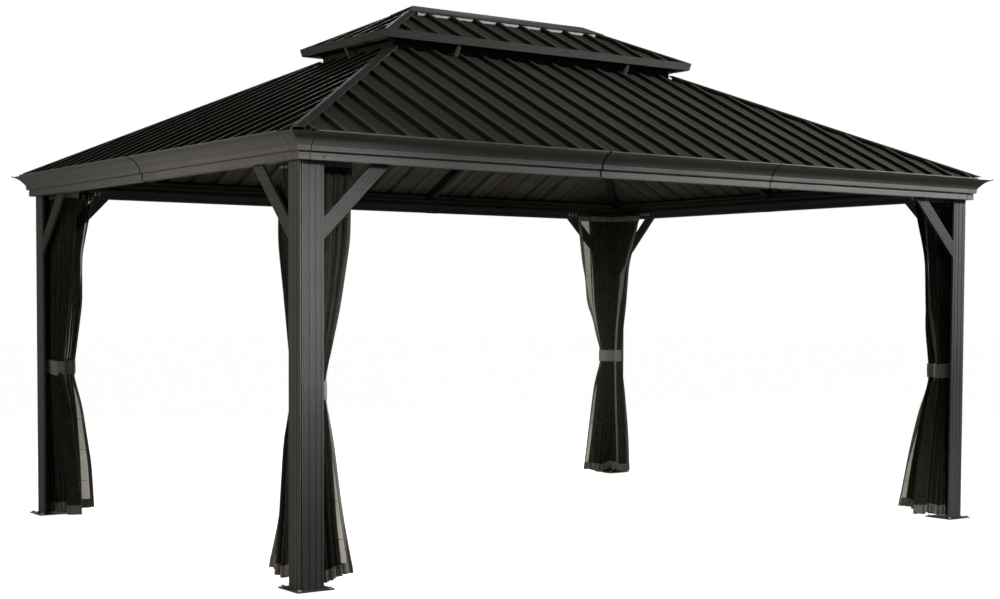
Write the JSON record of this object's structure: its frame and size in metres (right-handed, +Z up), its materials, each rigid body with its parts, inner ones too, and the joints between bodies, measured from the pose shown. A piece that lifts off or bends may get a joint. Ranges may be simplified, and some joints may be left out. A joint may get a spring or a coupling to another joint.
{
  "type": "metal gazebo",
  "caption": "Rectangular hardtop garden gazebo: fluted angle posts on base plates, moulded cornice, ribbed hip roof with a raised vent roof, and nets tied back at the posts.",
  "frame": {"origin": "on the ground at the middle of the plan", "axes": "+X along the long side, +Y across from the front side to the back, +Z up"},
  "size_m": [4.8806, 3.6206, 3.0835],
  "materials": {
    "frame_paint": "satin dark grey powder coat",
    "cornice_paint": "satin dark grey-brown powder coat",
    "roof_paint": "satin near-black brown coil coat",
    "rail_metal": "dark anodised",
    "net_mesh": "fine black polyester mesh",
    "net_tie": "woven dark grey tape"
  },
  "bodies": {
    "root": {"base_plate_front_left": "frame_paint", "post_front_left": "frame_paint", "long_brace_front_left": "frame_paint", "short_brace_front_left": "frame_paint", "base_plate_front_right": "frame_paint", "post_front_right": "frame_paint", "long_brace_front_right": "frame_paint", "short_brace_front_right": "frame_paint", "base_plate_back_left": "frame_paint", "post_back_left": "frame_paint", "long_brace_back_left": "frame_paint", "short_brace_back_left": "frame_paint", "base_plate_back_right": "frame_paint", "post_back_right": "frame_paint", "long_brace_back_right": "frame_paint", "short_brace_back_right": "frame_paint", "beam_front": "frame_paint", "cornice_front": "cornice_paint", "lower_roof_front": "roof_paint", "upper_roof_front": "roof_paint", "beam_right": "frame_paint", "cornice_right": "cornice_paint", "lower_roof_right": "roof_paint", "upper_roof_right": "roof_paint", "beam_back": "frame_paint", "cornice_back": "cornice_paint", "lower_roof_back": "roof_paint", "upper_roof_back": "roof_paint", "beam_left": "frame_paint", "cornice_left": "cornice_paint", "lower_roof_left": "roof_paint", "upper_roof_left": "roof_paint", "cornice_corners": "cornice_paint", "beam_brackets": "frame_paint", "hip_rafters": "frame_paint", "common_rafters": "frame_paint", "vent_curb": "frame_paint", "vent_struts": "frame_paint", "upper_fascia": "frame_paint", "lower_hip_caps": "roof_paint", "upper_hip_caps": "roof_paint", "ridge_cap": "roof_paint", "net_rails": "rail_metal", "nets_front_left": "net_mesh", "nets_front_right": "net_mesh", "nets_back_left": "net_mesh", "nets_back_right": "net_mesh", "net_ties": "net_tie"}
  },
  "joints": []
}
